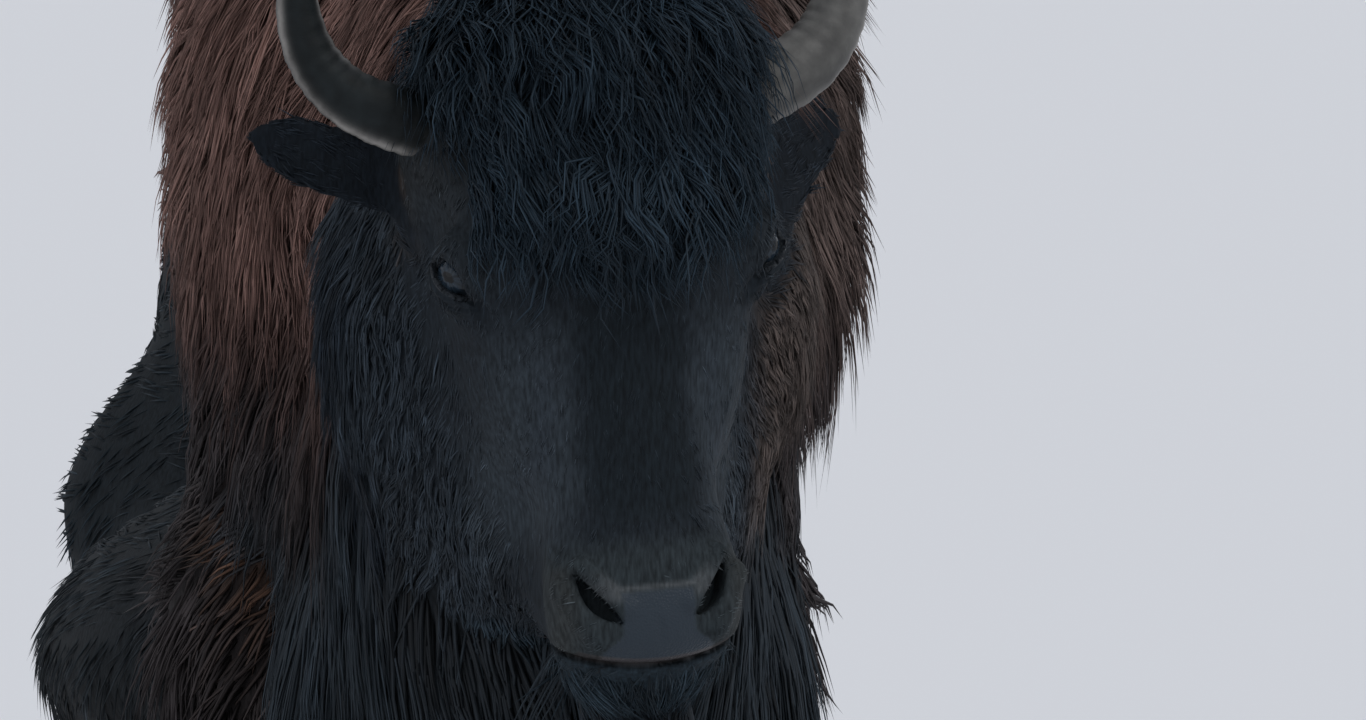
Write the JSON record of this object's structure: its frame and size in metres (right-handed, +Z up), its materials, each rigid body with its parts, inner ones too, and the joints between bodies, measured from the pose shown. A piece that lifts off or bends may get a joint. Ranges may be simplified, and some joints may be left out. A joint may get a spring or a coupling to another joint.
{
  "type": "standing bison cow",
  "caption": "Life-size still model of an adult American bison cow standing in winter coat, head turned a little towards the viewer.",
  "frame": {"origin": "on the floor, under the middle of the animal's bounding box", "axes": "the animal faces -Y, its right side is towards -X, +Z is up"},
  "size_m": [0.659, 2.3234, 1.5798],
  "materials": {
    "coat_face": "short dark winter fur",
    "coat_long": "long wavy near-black locks",
    "coat_cape": "deep rust-brown woolly cape",
    "coat_body": "rust-brown over the shoulders to near-black on barrel and hindquarters",
    "coat_leg": "dark brown leg hair",
    "horn": "grey ringed horn, smooth towards the tip",
    "hoof": "black horn, worn matte",
    "eye": "wet dark brown"
  },
  "bodies": {
    "root": {"beard": "coat_long", "ear_left": "coat_face", "ear_right": "coat_face", "eye_left": "eye", "eye_right": "eye", "foreleg_left": "coat_leg", "foreleg_right": "coat_leg", "head": "coat_face", "hindleg_left": "coat_leg", "hindleg_right": "coat_leg", "hoof_fore_left_inner": "hoof", "hoof_fore_left_outer": "hoof", "hoof_fore_right_inner": "hoof", "hoof_fore_right_outer": "hoof", "hoof_hind_left_inner": "hoof", "hoof_hind_left_outer": "hoof", "hoof_hind_right_inner": "hoof", "hoof_hind_right_outer": "hoof", "horn_left": "horn", "horn_right": "horn", "mop": "coat_long", "neck": "coat_cape", "tail": "coat_leg", "tail_tuft": "coat_long", "trunk": "coat_body"}
  },
  "joints": []
}
